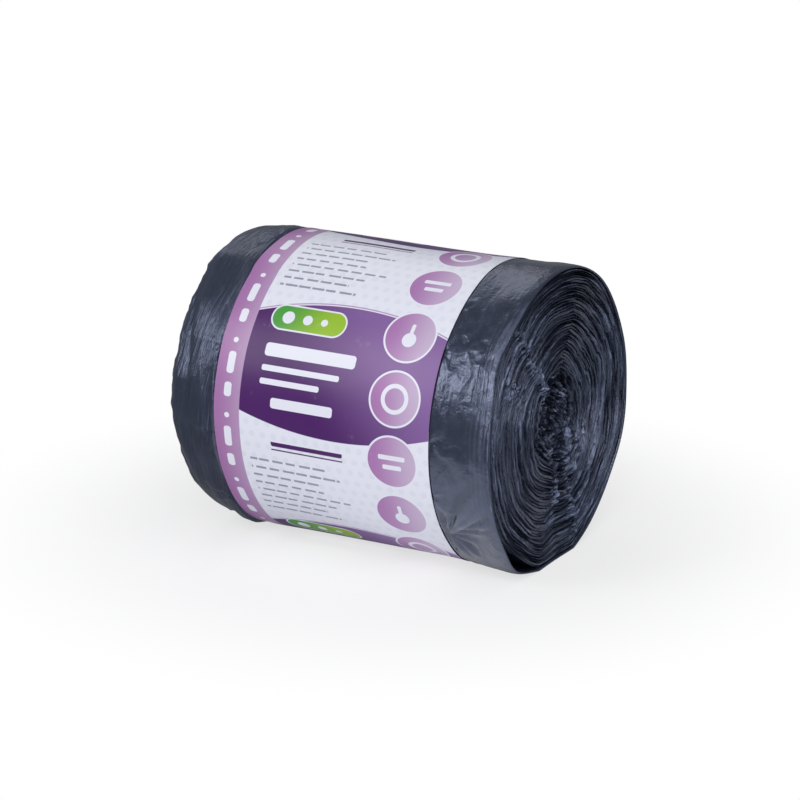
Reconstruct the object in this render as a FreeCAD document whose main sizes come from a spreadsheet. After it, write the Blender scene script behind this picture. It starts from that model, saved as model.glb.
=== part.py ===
import FreeCAD, Part

# A roll of bin bags lying on its side, with its printed paper label round it.
# The roll has no core: it is one long folded strip wound on itself.
# Sizes are in millimetres. +X runs along the roll towards its near end, +Z is up,
# and the origin is under the middle of the roll, on the surface that it lies on.

import math
import os

import Sketcher

doc = FreeCAD.newDocument("bin_bag_roll")

# Driving dimensions
params = doc.addObject("Spreadsheet::Sheet", "params")
SIZES = (
    ("roll_length", 125.0),
    ("roll_diameter", 104.4),
    ("flat_width", 26.0),
    ("outer_turn_wall", 1.4),
    ("far_shoulder_length", 14.0),
    ("far_shoulder_drop", 7.0),
    ("near_rim_length", 1.5),
    ("near_rim_drop", 0.6),
    ("turn_count", 20),
    ("turn_gap", 0.55),
    ("core_radius", 1.3),
    ("end_unevenness", 1.6),
    ("edge_slope", 0.7),
    ("crushed_core", 9.0),
    ("centre_dish", 9.0),
    ("turn_waviness", 0.8),
    ("crease_depth", 1.1),
    ("loose_turn_gap", 3.4),
    ("loose_turn_width", 36.0),
    ("label_width", 82.8),
    ("label_from_far_end", 20.2),
    ("label_thickness", 0.15),
    ("label_clearance", 0.05),
    ("label_lap", 12.0),
)
for row, (name, value) in enumerate(SIZES, start=1):
    params.set(f"A{row}", name)
    params.set(f"B{row}", str(value))
    params.setAlias(f"B{row}", name)
doc.recompute()


def size(name):
    """A driving dimension, as a number."""
    return float(params.get(name))


# Lines of the roll that several pieces share, as expressions on the sheet
AXIS_HEIGHT = "sqrt((params.roll_diameter / 2) ^ 2 - (params.flat_width / 2) ^ 2)"
FAR_END = "-params.roll_length / 2"
NEAR_END = "params.roll_length / 2"
LABEL_START = f"({FAR_END} + params.label_from_far_end)"

# Where the outline is drawn along each rounded end, as shares of that end's length
FAR_STATIONS = (0.0, 0.08, 0.3, 0.6, 1.0)
NEAR_STATIONS = (1.0, 0.3, 0.0)

# How far the cavity runs out past each end, so that the ends are cut open
OVERRUN = 1.0

# How near two faces' centres lie when they are the same face
OPENING_MATCH = 1e-6

# Angles are measured from the top of the roll towards its front, seen from the near end
COLUMNS_PER_TURN = 18
FIRST_COLUMN_ANGLE = math.radians(298)
LOOSE_TURN_ANGLE = math.radians(147)
LABEL_LAP_ANGLE = 232


def shoulder_share(position):
    """How much of a rounded end's drop is left at a share of its length: a quarter ellipse."""
    return 1 - math.sqrt(1 - (1 - position) ** 2)


def bind(feature, **expressions):
    """Ties properties of a feature to the sheet; two underscores stand for a dot."""
    for path, expression in expressions.items():
        feature.setExpression(path.replace("__", "."), expression)


def add_outline(sketch, name, inset):
    """Draws the roll's round outline with its flat foot, set in from the outside by an expression."""
    radius = size("roll_diameter") / 2
    foot = math.asin(size("flat_width") / 2 / radius)
    start = -math.pi / 2 + foot
    end = 3 * math.pi / 2 - foot
    circle = Part.Circle(FreeCAD.Vector(0, 0, 0), FreeCAD.Vector(0, 0, 1), radius)
    arc = sketch.addGeometry(Part.ArcOfCircle(circle, start, end), False)
    right = FreeCAD.Vector(radius * math.cos(start), radius * math.sin(start), 0)
    left = FreeCAD.Vector(-right.x, right.y, 0)
    line = sketch.addGeometry(Part.LineSegment(left, right), False)
    sketch.addConstraint(Sketcher.Constraint("Coincident", arc, 3, -1, 1))
    sketch.addConstraint(Sketcher.Constraint("Coincident", arc, 1, line, 2))
    sketch.addConstraint(Sketcher.Constraint("Coincident", arc, 2, line, 1))
    sketch.addConstraint(Sketcher.Constraint("Horizontal", line))
    round_size = sketch.addConstraint(Sketcher.Constraint("Radius", arc, radius))
    foot_size = sketch.addConstraint(Sketcher.Constraint("DistanceY", line, 1, -1, 1, -left.y))
    sketch.renameConstraint(round_size, f"{name}_radius")
    sketch.renameConstraint(foot_size, f"{name}_foot")
    sketch.setExpression(f"Constraints.{name}_radius", f"params.roll_diameter / 2 - ({inset})")
    sketch.setExpression(f"Constraints.{name}_foot", f"{AXIS_HEIGHT} - ({inset})")


def section(body, name, position):
    """A sketch across the roll at a position along it, given as an expression."""
    sketch = body.newObject("Sketcher::SketchObject", name)
    plane = [item for item in body.Origin.OriginFeatures if item.Role == "YZ_Plane"][0]
    sketch.AttachmentSupport = [(plane, "")]
    sketch.MapMode = "FlatFace"
    bind(sketch, AttachmentOffset__Base__z=position)
    return sketch


def stations():
    """Position along the roll and drop of the outline, at each section from far end to near end."""
    for share in FAR_STATIONS:
        drop = f"params.far_shoulder_drop * {shoulder_share(share):.4f}"
        yield f"{FAR_END} + params.far_shoulder_length * {share}", drop
    for share in NEAR_STATIONS:
        drop = f"params.near_rim_drop * {shoulder_share(share):.4f}"
        yield f"{NEAR_END} - params.near_rim_length * {share}", drop


def loft(body, kind, name, places):
    """A ruled loft through the roll's outline at the given positions and insets."""
    sketches = []
    for number, (position, inset) in enumerate(places):
        sketch = section(body, f"{name}_section_{number}", position)
        add_outline(sketch, "outline", inset)
        sketches.append(sketch)
    feature = body.newObject(kind, name)
    feature.Profile = sketches[0]
    feature.Sections = sketches[1:]
    feature.Ruled = True
    return feature


# The outermost turn: the film that covers the roll and curls over its far shoulder
outer_turn = doc.addObject("PartDesign::Body", "outer_turn")
outside = list(stations())
loft(outer_turn, "PartDesign::AdditiveLoft", "film", outside)

inside = [(position, f"{drop} + params.outer_turn_wall") for position, drop in outside]
inside.insert(0, (f"{FAR_END} - {OVERRUN}", inside[0][1]))
inside.append((f"{NEAR_END} + {OVERRUN}", inside[-1][1]))
loft(outer_turn, "PartDesign::SubtractiveLoft", "wound_space", inside)

seat_sketch = section(outer_turn, "label_seat_section", LABEL_START)
add_outline(seat_sketch, "seat", "params.label_thickness + params.label_clearance")
add_outline(seat_sketch, "clear", f"-{OVERRUN}")
label_seat = outer_turn.newObject("PartDesign::Pocket", "label_seat")
label_seat.Profile = seat_sketch
label_seat.Reversed = True
bind(label_seat, Length="params.label_width")
doc.recompute()


# The turns inside it: a strip wound in a spiral, creased where it was folded, its edges uneven
roll_radius = size("roll_diameter") / 2
cavity_radius = roll_radius - size("outer_turn_wall")
flat_sag = roll_radius - math.sqrt(roll_radius ** 2 - (size("flat_width") / 2) ** 2)
inner_turn_count = int(size("turn_count")) - 1
pitch = (cavity_radius - size("core_radius")) / inner_turn_count
column_total = inner_turn_count * COLUMNS_PER_TURN
column_step = 2 * math.pi / COLUMNS_PER_TURN
thinnest_strip = 0.5 * (pitch - size("turn_gap"))

# Columns of each turn where the folded strip is creased, and which way: out or in
CREASES = {1: -0.6, 5: 1.0, 11: 0.8, 12: -1.0, 13: 0.5, 16: -0.7}


def column_angle(column):
    """Columns are spaced unevenly round a turn, and drift a little from turn to turn."""
    place, turn = column % COLUMNS_PER_TURN, column // COLUMNS_PER_TURN
    uneven_step = 0.3 * math.sin(2.4 * place) * math.sin(math.pi * place / COLUMNS_PER_TURN)
    drift = 0.05 * math.sin(0.8 * turn) * math.sin(math.pi * place / COLUMNS_PER_TURN)
    return FIRST_COLUMN_ANGLE + (column + uneven_step + drift) * column_step


def uneven(column):
    """A share from 0 to 1: how far the strip's edge stands back at a column, never at random."""
    turn = column // COLUMNS_PER_TURN
    return 0.5 + 0.3 * math.sin(0.6 * column + 2.4 * turn) + 0.2 * math.sin(1.9 * column)


def squeezed(radius, angle, crease):
    """Where a turn that would have this radius really lies: sagged, wavy, creased and pushed in."""
    share = radius / cavity_radius
    place = radius
    from_foot = math.remainder(angle - math.pi, 2 * math.pi)
    if abs(from_foot) < math.pi / 3:
        place = min(radius, (radius - flat_sag * share ** 2) / math.cos(from_foot))
    slack = max(0.0, 1 - share ** 3) ** 0.5 * min(1.0, radius / size("crushed_core"))
    wave = math.sin(2 * angle + 0.09 * radius) + 0.7 * math.sin(5 * angle - 0.15 * radius)
    place += slack * (size("turn_waviness") * wave + size("crease_depth") * crease)
    from_loose = math.remainder(angle - LOOSE_TURN_ANGLE, 2 * math.pi) * cavity_radius
    reach = from_loose / (size("loose_turn_width") / 2)
    return place - size("loose_turn_gap") * share ** 4 * math.exp(-1.5 * reach ** 2)


def inner_radius(column):
    """Unsqueezed radius of the strip's inner side."""
    spiral = size("core_radius") + pitch * column / COLUMNS_PER_TURN
    return min(spiral, cavity_radius - size("turn_gap") - thinnest_strip)


def outer_radius(column):
    """Unsqueezed radius of the strip's outer side: one gap short of the next turn."""
    following = size("core_radius") + pitch * (column / COLUMNS_PER_TURN + 1)
    return min(following, cavity_radius) - size("turn_gap")


def curl_reach(radius, drop, length):
    """How far back from an end a turn stops, to lie under the curl of the outermost turn."""
    inward = (cavity_radius - radius) / drop
    if inward >= 1:
        return 0.0
    return length * shoulder_share(inward) + size("turn_gap")


def strip_corners(column):
    """The corners of the strip's cross-section at one column: inner and outer side, both ends."""
    angle = column_angle(column)
    outward = FreeCAD.Vector(0, -math.sin(angle), math.cos(angle))
    crease = CREASES.get(column % COLUMNS_PER_TURN, 0.0)
    radius = outer_radius(column)
    inner = squeezed(inner_radius(column), angle, crease)
    outer = squeezed(radius, angle, crease)
    if column == column_total:
        # The strip's end runs into the wall of the outermost turn, which carries it on
        inner = cavity_radius + 0.2 * size("outer_turn_wall")
        outer = cavity_radius + 0.7 * size("outer_turn_wall")
    dish = size("centre_dish") * (1 - radius / cavity_radius) ** 4
    near_curl = curl_reach(radius, size("near_rim_drop"), size("near_rim_length"))
    far_curl = curl_reach(radius, size("far_shoulder_drop"), size("far_shoulder_length"))
    near_back = dish + near_curl + size("end_unevenness") * uneven(column)
    far_back = dish + far_curl + size("end_unevenness") * uneven(column + 7)
    near = size("roll_length") / 2 - near_back
    far = -size("roll_length") / 2 + far_back
    return {
        "near_in": outward * inner + FreeCAD.Vector(near, 0, 0),
        "near_out": outward * outer + FreeCAD.Vector(near - size("edge_slope"), 0, 0),
        "far_in": outward * inner + FreeCAD.Vector(far, 0, 0),
        "far_out": outward * outer + FreeCAD.Vector(far + size("edge_slope"), 0, 0),
    }


def flat_face(*corners):
    return Part.Face(Part.makePolygon(list(corners) + [corners[0]]))


def strip_faces(first, last):
    """The strip's walls and edges from one column to another, open at both columns."""
    columns = [strip_corners(column) for column in range(first, last + 1)]
    faces = []
    for this, following in zip(columns, columns[1:]):
        for side in ("in", "out"):
            faces.append(flat_face(this[f"near_{side}"], following[f"near_{side}"],
                                   following[f"far_{side}"], this[f"far_{side}"]))
        for end in ("near", "far"):
            faces.append(flat_face(this[f"{end}_in"], this[f"{end}_out"], following[f"{end}_out"]))
            faces.append(flat_face(this[f"{end}_in"], following[f"{end}_out"], following[f"{end}_in"]))
    return faces


def strip_section(column):
    """The face across the strip at a column."""
    corners = strip_corners(column)
    return flat_face(corners["near_in"], corners["near_out"], corners["far_out"], corners["far_in"])


def closed_solid(faces):
    """One solid from faces that meet edge to edge."""
    shell = Part.Shell(faces)
    shell.sewShape()
    solid = Part.Solid(shell)
    if solid.Volume < 0:
        solid.reverse()
    return solid


# The strip's last stretch, joined to the outermost turn
joining_column = column_total - 3
strip_end = doc.addObject("Part::Feature", "strip_end")
strip_end.Shape = closed_solid(
    strip_faces(joining_column, column_total)
    + [strip_section(joining_column), strip_section(column_total)]
)
outer_turn_joined = doc.addObject("Part::Fuse", "outer_turn_joined")
outer_turn_joined.Base = outer_turn
outer_turn_joined.Tool = strip_end
outer_turn_joined.Refine = False
doc.recompute()

# The whole wound roll, one solid: the rest of the strip carries on where that stretch begins
opening = strip_section(joining_column)
carried_faces = [
    face for face in outer_turn_joined.Shape.Faces
    if (face.CenterOfMass - opening.CenterOfMass).Length > OPENING_MATCH
]
roll = doc.addObject("Part::Feature", "bag_roll")
roll.Shape = closed_solid(carried_faces + strip_faces(0, joining_column) + [strip_section(0)])
bind(roll, Placement__Base__z=AXIS_HEIGHT)

# The paper label: a band that fits round the roll, with its glued lap low at the back
label = doc.addObject("PartDesign::Body", "label_band")
band_sketch = section(label, "band_section", LABEL_START)
add_outline(band_sketch, "outer", "0")
add_outline(band_sketch, "inner", "params.label_thickness")
band = label.newObject("PartDesign::Pad", "band")
band.Profile = band_sketch
bind(band, Length="params.label_width")


def add_lap(sketch):
    """Draws the part of a ring where the label's end lies on top of the label."""
    inner = size("roll_diameter") / 2
    outer = inner + size("label_thickness")
    middle = math.radians(LABEL_LAP_ANGLE + 90)
    half = size("label_lap") / 2 / inner
    centre = FreeCAD.Vector(0, 0, 0)
    axis = FreeCAD.Vector(0, 0, 1)
    arcs = []
    for radius in (inner, outer):
        circle = Part.Circle(centre, axis, radius)
        arcs.append(sketch.addGeometry(Part.ArcOfCircle(circle, middle - half, middle + half), False))
        sketch.addConstraint(Sketcher.Constraint("Coincident", arcs[-1], 3, -1, 1))
    for end in (1, 2):
        points = [sketch.getPoint(arc, end) for arc in arcs]
        side = sketch.addGeometry(Part.LineSegment(*points), False)
        sketch.addConstraint(Sketcher.Constraint("Coincident", side, 1, arcs[0], end))
        sketch.addConstraint(Sketcher.Constraint("Coincident", side, 2, arcs[1], end))
    names = ("inner", "outer")
    radii = ("params.roll_diameter / 2", "params.roll_diameter / 2 + params.label_thickness")
    for arc, radius, name, expression in zip(arcs, (inner, outer), names, radii):
        number = sketch.addConstraint(Sketcher.Constraint("Radius", arc, radius))
        sketch.renameConstraint(number, name)
        sketch.setExpression(f"Constraints.{name}", expression)


lap_sketch = section(label, "lap_section", LABEL_START)
add_lap(lap_sketch)
lap = label.newObject("PartDesign::Pad", "lap")
lap.Profile = lap_sketch
bind(lap, Length="params.label_width")
bind(label, Placement__Base__z=AXIS_HEIGHT)
doc.recompute()

NODES = (roll, label)

for item in doc.Objects:
    if "Invalid" in item.State or "Error" in item.State:
        raise RuntimeError(f"{item.Name} failed: {item.State}")
for node in NODES:
    node.Label = node.Name
    if node.Shape.isNull() or not node.Shape.isValid():
        raise RuntimeError(f"{node.Name} has no valid shape")

os.makedirs("parts", exist_ok=True)
for node in NODES:
    node.Shape.exportStep(f"parts/{node.Name}.step")
    box = node.Shape.BoundBox
    print(node.Name, "solids", len(node.Shape.Solids), "volume", round(node.Shape.Volume, 1),
          "X", round(box.XMin, 2), round(box.XMax, 2), "Y", round(box.YMin, 2), round(box.YMax, 2),
          "Z", round(box.ZMin, 2), round(box.ZMax, 2))
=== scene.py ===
import math

import bmesh
import bpy
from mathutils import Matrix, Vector, noise


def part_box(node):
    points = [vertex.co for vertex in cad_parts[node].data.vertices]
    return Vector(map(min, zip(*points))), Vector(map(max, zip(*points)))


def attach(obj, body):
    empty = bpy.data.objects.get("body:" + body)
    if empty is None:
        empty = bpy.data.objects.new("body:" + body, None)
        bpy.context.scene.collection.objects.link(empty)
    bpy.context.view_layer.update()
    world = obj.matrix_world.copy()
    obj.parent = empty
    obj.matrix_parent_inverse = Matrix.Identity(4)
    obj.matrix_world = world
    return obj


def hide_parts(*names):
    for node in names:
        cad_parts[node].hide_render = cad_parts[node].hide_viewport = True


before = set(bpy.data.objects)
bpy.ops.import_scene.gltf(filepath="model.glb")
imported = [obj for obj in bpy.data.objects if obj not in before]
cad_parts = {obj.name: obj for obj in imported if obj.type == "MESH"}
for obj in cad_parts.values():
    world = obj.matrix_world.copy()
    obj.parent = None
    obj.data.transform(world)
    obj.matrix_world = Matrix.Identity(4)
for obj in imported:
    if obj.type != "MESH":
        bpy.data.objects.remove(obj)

bl_info = {
    "name": "Bin bag roll",
    "version": (1, 0, 0),
    "blender": (4, 5, 0),
    "location": "3D View > Sidebar > Bin bag roll",
    "description": "Dresses a roll of bin bags with crinkled film, its wound ends and its paper label",
    "category": "Object",
}

MM = 0.001
TURN = 2 * math.pi

# Blender's vector noise starts from the clock unless it is seeded
noise.seed_set(5)

# What the frame says of the roll and its label
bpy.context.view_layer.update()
ROLL_LOW, ROLL_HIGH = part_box("bag_roll")
LABEL_LOW, LABEL_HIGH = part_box("label_band")
ROLL_RADIUS = (ROLL_HIGH.y - ROLL_LOW.y) / 2


class RollSizes(bpy.types.PropertyGroup):
    """Sizes of the roll, as in the construction."""
    length: bpy.props.FloatProperty(
        name="Roll length", description="From end to end along the roll",
        default=ROLL_HIGH.x - ROLL_LOW.x, unit="LENGTH", subtype="DISTANCE")
    radius: bpy.props.FloatProperty(
        name="Roll radius", description="Outside radius of the roll where it is round",
        default=ROLL_RADIUS, unit="LENGTH", subtype="DISTANCE")
    axis_height: bpy.props.FloatProperty(
        name="Axis height", description="Height of the roll's axis above its flat spot",
        default=ROLL_HIGH.z - ROLL_RADIUS, unit="LENGTH", subtype="DISTANCE")
    shoulder_length: bpy.props.FloatProperty(
        name="Far shoulder length", description="How far along the roll the far end is rounded",
        default=14 * MM, unit="LENGTH", subtype="DISTANCE")
    shoulder_drop: bpy.props.FloatProperty(
        name="Far shoulder drop", description="How far the film curls in at the far end",
        default=7 * MM, unit="LENGTH", subtype="DISTANCE")
    rim_length: bpy.props.FloatProperty(
        name="Near rim length", description="How far along the roll the near rim is rounded",
        default=1.5 * MM, unit="LENGTH", subtype="DISTANCE")
    rim_drop: bpy.props.FloatProperty(
        name="Near rim drop", description="How far the near rim is rounded in",
        default=0.3 * MM, unit="LENGTH", subtype="DISTANCE")
    film_wall: bpy.props.FloatProperty(
        name="Outer turn wall", description="Thickness of the outermost turn's folded film",
        default=0.45 * MM, unit="LENGTH", subtype="DISTANCE")
    label_start: bpy.props.FloatProperty(
        name="Label start", description="Where the label begins, on the far side",
        default=LABEL_LOW.x, unit="LENGTH", subtype="DISTANCE")
    label_end: bpy.props.FloatProperty(
        name="Label end", description="Where the label ends, on the near side",
        default=LABEL_HIGH.x, unit="LENGTH", subtype="DISTANCE")
    label_thickness: bpy.props.FloatProperty(
        name="Label thickness", description="Thickness of the paper label",
        default=0.15 * MM, unit="LENGTH", subtype="DISTANCE")
    turns: bpy.props.IntProperty(
        name="Visible turns", description="Turns of folded film that show at an end",
        default=56, min=10, max=60)
    core_pit: bpy.props.FloatProperty(
        name="Core pit", description="How far the innermost turns lie back in the end",
        default=11 * MM, unit="LENGTH", subtype="DISTANCE")
    loose_gap: bpy.props.FloatProperty(
        name="Loose turn gap", description="How far the turns lie in under the outermost one where it stands off",
        default=1.6 * MM, unit="LENGTH", subtype="DISTANCE")


class FilmLook(bpy.types.PropertyGroup):
    """Finish of the film."""
    colour: bpy.props.FloatVectorProperty(
        name="Film colour", description="Colour of the dark film", subtype="COLOR",
        default=(0.0115, 0.015, 0.028), min=0, max=1)
    # Colour that the film turns to where it whitens at creases, and where sheen and glinting specks are painted
    # on
    whitening_and_sheen_colour: bpy.props.FloatVectorProperty(
        name="Film whitening and painted sheen colour", description="Colour the film whitens to at creases, and of its painted sheen and glinting specks",
        subtype="COLOR", default=(0.055, 0.068, 0.105), min=0, max=1)
    fold_depth: bpy.props.FloatProperty(
        name="Fold depth", description="Height of the film's larger wrinkles",
        default=1.0 * MM, unit="LENGTH", subtype="DISTANCE")


class LabelLook(bpy.types.PropertyGroup):
    """Colours of the label's print."""
    ground: bpy.props.FloatVectorProperty(
        name="Ground", description="Pale ground of the label", subtype="COLOR",
        default=(0.77, 0.78, 0.87), min=0, max=1)
    dots: bpy.props.FloatVectorProperty(
        name="Ground dots", description="Pale dots on the ground", subtype="COLOR",
        default=(0.62, 0.65, 0.76), min=0, max=1)
    stripe: bpy.props.FloatVectorProperty(
        name="Edge stripe", description="Stripe along the far edge", subtype="COLOR",
        default=(0.36, 0.165, 0.38), min=0, max=1)
    deep: bpy.props.FloatVectorProperty(
        name="Deep field", description="Darker colour of the large field", subtype="COLOR",
        default=(0.07, 0.014, 0.125), min=0, max=1)
    soft: bpy.props.FloatVectorProperty(
        name="Soft field", description="Lighter colour of the large field", subtype="COLOR",
        default=(0.23, 0.12, 0.33), min=0, max=1)
    badge: bpy.props.FloatVectorProperty(
        name="Badges", description="Colour of the round badges", subtype="COLOR",
        default=(0.38, 0.17, 0.41), min=0, max=1)
    leaf: bpy.props.FloatVectorProperty(
        name="Green", description="Darker green of the small bar", subtype="COLOR",
        default=(0.07, 0.33, 0.05), min=0, max=1)
    lime: bpy.props.FloatVectorProperty(
        name="Light green", description="Lighter green of the small bar", subtype="COLOR",
        default=(0.3, 0.5, 0.03), min=0, max=1)
    ink: bpy.props.FloatVectorProperty(
        name="Grey ink", description="Colour of the thin grey bars", subtype="COLOR",
        default=(0.19, 0.19, 0.27), min=0, max=1)


# Shader maths as Python expressions


class Signal:
    """A node's output that can be used in expressions."""

    def __init__(self, graph, socket):
        self.graph = graph
        self.socket = socket

    def __add__(self, other):
        return self.graph.math("ADD", self, other)

    __radd__ = __add__

    def __sub__(self, other):
        return self.graph.math("SUBTRACT", self, other)

    def __rsub__(self, other):
        return self.graph.math("SUBTRACT", other, self)

    def __mul__(self, other):
        return self.graph.math("MULTIPLY", self, other)

    __rmul__ = __mul__

    def __truediv__(self, other):
        return self.graph.math("DIVIDE", self, other)

    def __rtruediv__(self, other):
        return self.graph.math("DIVIDE", other, self)

    def __neg__(self):
        return self.graph.math("MULTIPLY", self, -1.0)

    def __abs__(self):
        return self.graph.math("ABSOLUTE", self)


class Graph:
    """A material's nodes, with its one shader."""

    def __init__(self, name, **constants):
        self.material = bpy.data.materials.new(name)
        self.material.use_nodes = True
        self.tree = self.material.node_tree
        self.shader = self.tree.nodes["Principled BSDF"]
        for socket, value in constants.items():
            self.shader.inputs[socket.replace("_", " ")].default_value = value

    def node(self, kind, settings=None, inputs=None, output=0):
        """Adds a node, sets it up, feeds its sockets and returns one of its outputs."""
        made = self.tree.nodes.new(kind)
        for name, value in (settings or {}).items():
            if name == "stops":
                self.set_stops(made.color_ramp, value)
            else:
                setattr(made, name, value)
        for key, value in (inputs or {}).items():
            self.feed(made.inputs[key], value)
        return Signal(self, made.outputs[output])

    def feed(self, socket, value):
        if isinstance(value, Signal):
            self.tree.links.new(value.socket, socket)
        else:
            socket.default_value = value

    @staticmethod
    def set_stops(ramp, stops):
        while len(ramp.elements) < len(stops):
            ramp.elements.new(0.5)
        for element, (position, colour) in zip(ramp.elements, stops):
            element.position = position
            element.color = (*colour, 1.0)

    def math(self, operation, *values):
        inputs = dict(enumerate(values))
        return self.node("ShaderNodeMath", {"operation": operation}, inputs)

    def lowest(self, first, second):
        return self.math("MINIMUM", first, second)

    def highest(self, first, second):
        return self.math("MAXIMUM", first, second)

    def step(self, value, low, high):
        """Goes smoothly from 0 to 1 as the value goes from low to high."""
        return self.node("ShaderNodeMapRange", {"interpolation_type": "SMOOTHSTEP"},
                         {"Value": value, "From Min": low, "From Max": high})

    def blend(self, share, first, second):
        """Mixes two colours by a share."""
        inputs = {0: share}
        for key, colour in ((6, first), (7, second)):
            inputs[key] = colour if isinstance(colour, Signal) else (*colour, 1.0)
        return self.node("ShaderNodeMix", {"data_type": "RGBA"}, inputs, output=2)

    def combine(self, x, y, z):
        return self.node("ShaderNodeCombineXYZ", None, {0: x, 1: y, 2: z})

    def split(self, vector):
        parts = self.node("ShaderNodeSeparateXYZ", None, {0: vector})
        return [Signal(self, output) for output in parts.socket.node.outputs]

    def noise(self, place, scale, detail=3.0, roughness=0.5):
        return self.node("ShaderNodeTexNoise", None,
                         {"Vector": place, "Scale": scale, "Detail": detail, "Roughness": roughness})

    def bump(self, height, distance, strength=1.0, under=None):
        inputs = {"Height": height, "Distance": distance, "Strength": strength}
        if under is not None:
            inputs["Normal"] = under
        return self.node("ShaderNodeBump", None, inputs)

    def finish(self, **sockets):
        for name, value in sockets.items():
            self.feed(self.shader.inputs[name.replace("_", " ")], value)
        return self.material


def smooth(value, low, high):
    """Goes smoothly from 0 to 1 as the value goes from low to high."""
    share = min(1.0, max(0.0, (value - low) / (high - low)))
    return share * share * (3 - 2 * share)


def bell(value, middle, width):
    return math.exp(-((value - middle) / width) ** 2)


def apart(angle, other):
    """Signed angle between two directions round the roll."""
    return math.remainder(angle - other, TURN)


def ridges(x, y, z):
    """Sharp-crested folds from noise, 0 to 1."""
    return 1 - abs(noise.noise(Vector((x, y, z)))) * 2


def wound_grid(name, across, along):
    """A flat grid primitive, with each vertex's place in it as two whole numbers."""
    bpy.ops.object.select_all(action="DESELECT")
    bpy.ops.mesh.primitive_grid_add(x_subdivisions=across, y_subdivisions=along, size=2)
    piece = bpy.context.object
    piece.name = name
    piece.data.name = name
    places = []
    for vertex in piece.data.vertices:
        places.append((round((vertex.co.x + 1) / 2 * across), round((vertex.co.y + 1) / 2 * along)))
    return piece, places


def weld(piece, distance):
    """Closes the seams of a wound grid and turns its faces outwards."""
    bpy.ops.object.mode_set(mode="EDIT")
    bpy.ops.mesh.select_all(action="SELECT")
    bpy.ops.mesh.remove_doubles(threshold=distance)
    bpy.ops.mesh.normals_make_consistent(inside=False)
    bpy.ops.object.mode_set(mode="OBJECT")


def lay_map(piece, name, spots):
    """Gives the piece a UV map from a place for each vertex, before its seams are closed."""
    layer = piece.data.uv_layers.active or piece.data.uv_layers.new()
    layer.name = name
    for loop in piece.data.loops:
        layer.data[loop.index].uv = spots[loop.vertex_index]


def hand_over(piece, node, material):
    """Sets the finish of a piece and ties it to the construction."""
    piece.data.materials.clear()
    piece.data.materials.append(material)
    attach(piece, "root")
    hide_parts(node)


# The roll's outline and how the soft film departs from it

# Where the roll bulges or is pressed in near its near end: angle, reach, height; the first is
# where the outermost turn stands off the others
NEAR_DENTS = ((148, 12, 2.7), (257, 30, 2.2), (92, 20, -0.7), (218, 14, 0.4), (325, 34, 1.4))

# The same near its far end
FAR_DENTS = ((24, 8, 1.5), (50, 16, 1.2), (84, 20, 1.2), (121, 14, -1.2), (170, 26, -1.6))
LOOSE_TURN_ANGLE = math.radians(147)


def spot(roll, x, radius, angle):
    """A point at a radius from the roll's axis, never below the surface that it lies on."""
    height = roll.axis_height + radius * math.cos(angle)
    return Vector((x, -radius * math.sin(angle), max(0.0, height)))


def outline(roll, inset, angle):
    """Distance of the outline from the axis, set in all round, with the flat spot below."""
    away = apart(angle, math.pi)
    radius = roll.radius - inset
    if abs(away) < 1.2:
        return min(radius, (roll.axis_height - inset) / math.cos(away))
    return radius


def off_foot(angle):
    """0 over the flat spot and 1 away from it."""
    return smooth(abs(apart(angle, math.pi)), math.radians(10), math.radians(26))


def bulge(dents, angle):
    """How far the dents and bulges of an end stand out at an angle."""
    height = 0.0
    for degrees, reach, top in dents:
        height += top * MM * bell(math.degrees(apart(angle, math.radians(degrees))), 0, reach)
    return height


def gentle_form(roll, x, angle):
    """Slow departures from round that the film and the label share."""
    y, z = math.sin(angle), math.cos(angle)
    form = 0.45 * MM * noise.noise(Vector((x / (38 * MM), y * 1.3, z * 1.3))) * off_foot(angle)
    near = smooth(x, roll.label_end - 14 * MM, roll.length / 2)
    far = smooth(-x, -roll.label_start - 8 * MM, roll.length / 2 - 6 * MM)
    for share, dents in ((near, NEAR_DENTS), (far, FAR_DENTS)):
        if share > 0:
            form += share * bulge(dents, angle)
    return form


def under_label(roll, x):
    """1 where the label covers the film, 0 beside it."""
    edge = 0.7 * MM
    return smooth(x, roll.label_start - edge, roll.label_start) * (
        1 - smooth(x, roll.label_end, roll.label_end + edge))


# Puckers that fan out from the label's edges: edge, angle, reach in mm, folds, turn, height
PUCKERS = (
    ("near", 109, 6.5, 5, 1.3, 0.7), ("near", 87, 6.0, 5, 2.0, 0.7),
    ("near", 53, 7.0, 6, 0.7, 0.8), ("near", 33, 5.0, 4, 1.9, 0.5), ("near", 300, 8.0, 6, 0.2, 1.0),
    ("near", 250, 6.0, 5, 1.1, 0.8), ("far", 64, 5.5, 4, 0.9, 0.5), ("far", 96, 6.5, 5, 0.3, 0.5),
    ("far", 130, 7.5, 6, 1.7, 0.8), ("far", 7, 6.5, 6, 0.5, 1.0), ("far", 285, 7.0, 5, 1.0, 0.8),
)

# Where the film is pinched hardest, and its ridges and creases: direction, length, height
STAR_ALONG = 42.6 * MM
STAR_ANGLE = math.radians(127)
STAR_RIDGES = ((-39, 24, 1.0), (-33.5, 22, -1.1), (-28, 20, 1.0), (-21, 18, -0.6), (-14, 16, 0.6),
               (-53, 26, 0.5), (-62, 30, -1.0), (-84, 12, -1.0), (-73, 13, 0.7), (4, 12, -0.5),
               (22, 11, 0.4), (47, 14, -0.9), (57, 15, 1.0), (67, 15, -1.1), (80, 13, 0.8), (93, 13, -0.9))


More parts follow.
